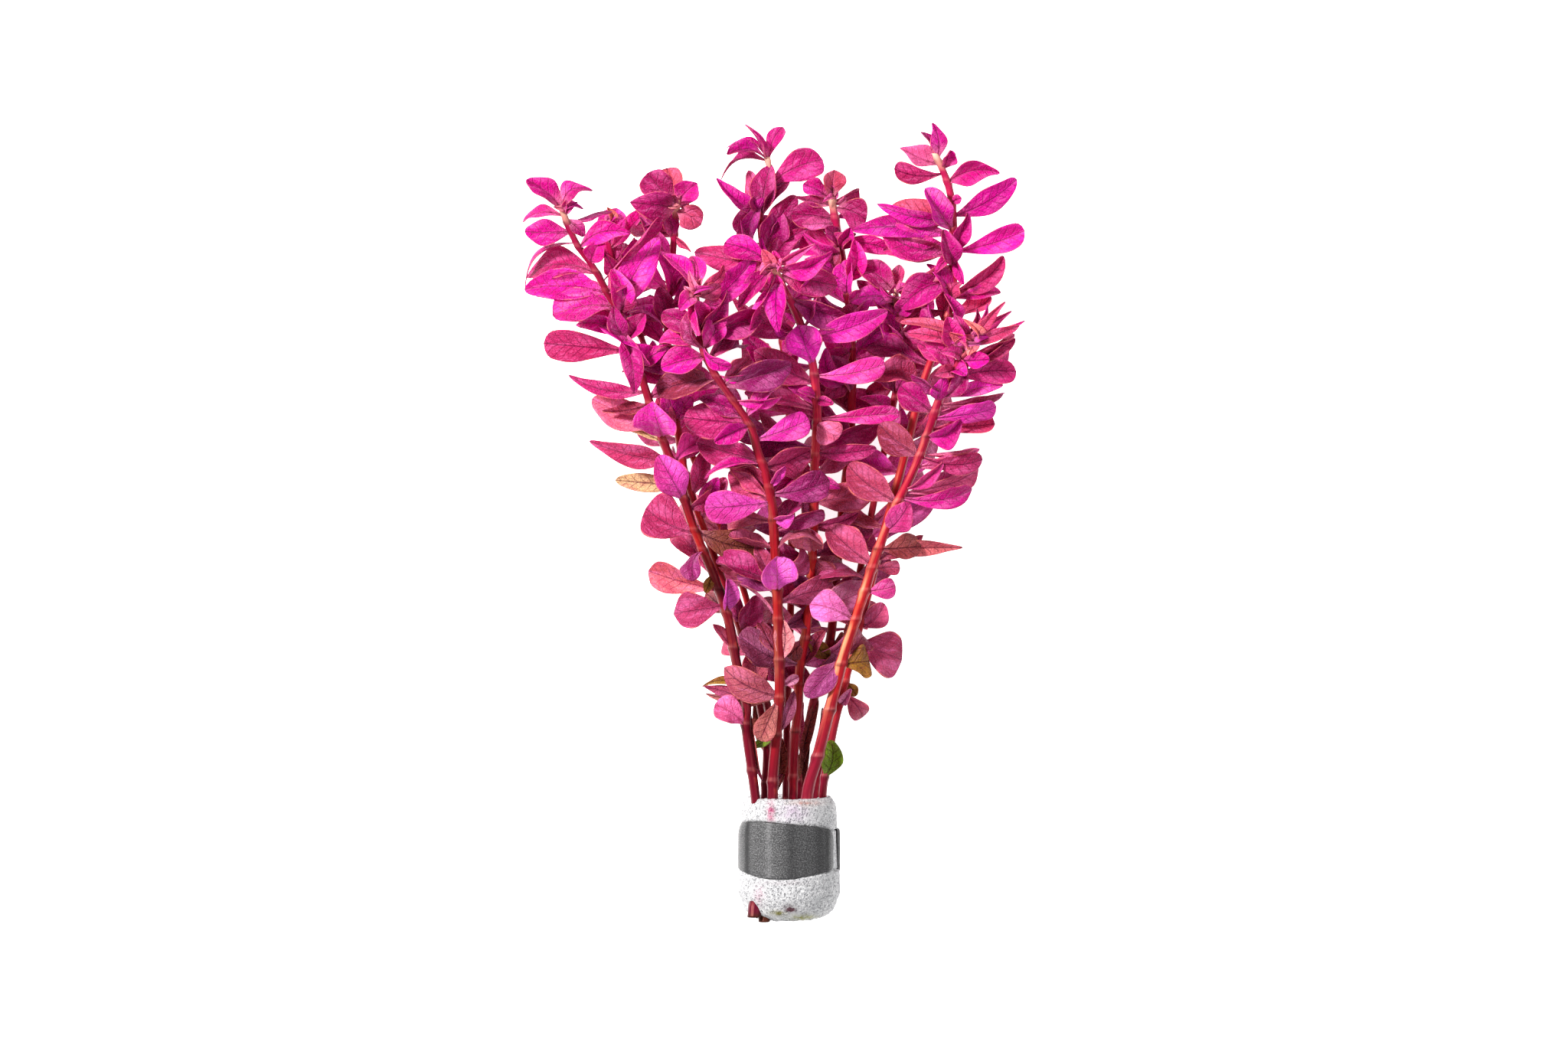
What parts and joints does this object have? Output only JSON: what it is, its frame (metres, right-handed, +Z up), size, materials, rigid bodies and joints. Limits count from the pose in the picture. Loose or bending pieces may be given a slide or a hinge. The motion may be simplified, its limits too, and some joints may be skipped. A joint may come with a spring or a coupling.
{
  "type": "rotala bunch",
  "caption": "Bunch of cut red rotala stems with paired magenta and rose leaves, lying down, their cut ends in white foam held by a grey lead strip.",
  "frame": {"origin": "centre of the lying bunch's footprint, on the surface that it lies on", "axes": "+X across the bunch to the picture's right, +Y along the stems from the cut ends to the tips, +Z up from the surface"},
  "size_m": [0.1388, 0.2244, 0.0635],
  "materials": {
    "brown_red_leaf": "thin soft leaf with a satin sheen, paler veins and margin",
    "deep_crimson_leaf": "thin soft leaf with a satin sheen, paler veins and margin",
    "dusky_rose_leaf": "thin soft leaf with a satin sheen, paler veins and margin",
    "grey_lead": "soft dull grey lead with faint brushed marks; cast_iron stands in for lead",
    "lilac_leaf": "thin soft leaf with a satin sheen, paler veins and margin",
    "magenta_leaf": "thin soft leaf with a satin sheen, paler veins and margin",
    "mauve_leaf": "thin soft leaf with a satin sheen, paler veins and margin",
    "pale_pink_leaf": "thin soft leaf with a satin sheen, paler veins and margin",
    "red_stem": "fresh stem, lightly glossy, with a darker ring at each leaf pair",
    "salmon_leaf": "thin soft leaf with a satin sheen, paler veins and margin",
    "white_foam": "soft open-celled foam, damp"
  },
  "bodies": {
    "root": {"centre": "red_stem", "centre_leaf_1": "lilac_leaf", "centre_leaf_2": "lilac_leaf", "centre_leaf_3": "lilac_leaf", "centre_leaf_4": "dusky_rose_leaf", "centre_leaf_5": "deep_crimson_leaf", "centre_leaf_6": "dusky_rose_leaf", "centre_left": "red_stem", "centre_left_leaf_1": "lilac_leaf", "centre_left_leaf_2": "lilac_leaf", "centre_left_leaf_3": "dusky_rose_leaf", "centre_left_leaf_4": "dusky_rose_leaf", "centre_left_leaf_5": "brown_red_leaf", "centre_left_leaf_6": "dusky_rose_leaf", "centre_right": "red_stem", "centre_right_leaf_1": "magenta_leaf", "centre_right_leaf_2": "deep_crimson_leaf", "centre_right_leaf_3": "dusky_rose_leaf", "foam_wrap": "white_foam", "lead_strip": "grey_lead", "left_back": "red_stem", "left_back_leaf_1": "magenta_leaf", "left_back_leaf_2": "salmon_leaf", "left_back_leaf_3": "dusky_rose_leaf", "left_back_leaf_4": "deep_crimson_leaf", "left_front": "red_stem", "left_front_leaf_1": "dusky_rose_leaf", "left_front_leaf_2": "lilac_leaf", "left_front_leaf_3": "dusky_rose_leaf", "left_front_leaf_4": "lilac_leaf", "left_front_leaf_5": "lilac_leaf", "left_front_leaf_6": "pale_pink_leaf", "left_front_leaf_7": "dusky_rose_leaf", "left_front_leaf_8": "brown_red_leaf", "left_middle": "red_stem", "left_middle_leaf_1": "magenta_leaf", "left_middle_leaf_2": "mauve_leaf", "right_front": "red_stem", "right_front_leaf_1": "lilac_leaf", "right_front_leaf_2": "mauve_leaf", "right_front_leaf_3": "salmon_leaf", "right_front_leaf_4": "dusky_rose_leaf", "right_front_leaf_5": "pale_pink_leaf", "right_front_leaf_6": "dusky_rose_leaf", "right_front_leaf_7": "brown_red_leaf", "right_middle": "red_stem", "right_middle_leaf_1": "deep_crimson_leaf", "right_middle_leaf_2": "dusky_rose_leaf", "right_tall": "red_stem", "right_tall_leaf_1": "dusky_rose_leaf", "right_tall_leaf_2": "magenta_leaf", "right_tall_leaf_3": "salmon_leaf", "right_tall_leaf_4": "deep_crimson_leaf", "right_tall_leaf_5": "lilac_leaf", "right_tall_leaf_6": "magenta_leaf", "right_tall_leaf_7": "dusky_rose_leaf", "top_back": "red_stem", "top_back_leaf_1": "magenta_leaf", "top_back_leaf_2": "dusky_rose_leaf", "top_back_leaf_3": "deep_crimson_leaf"}
  },
  "joints": []
}
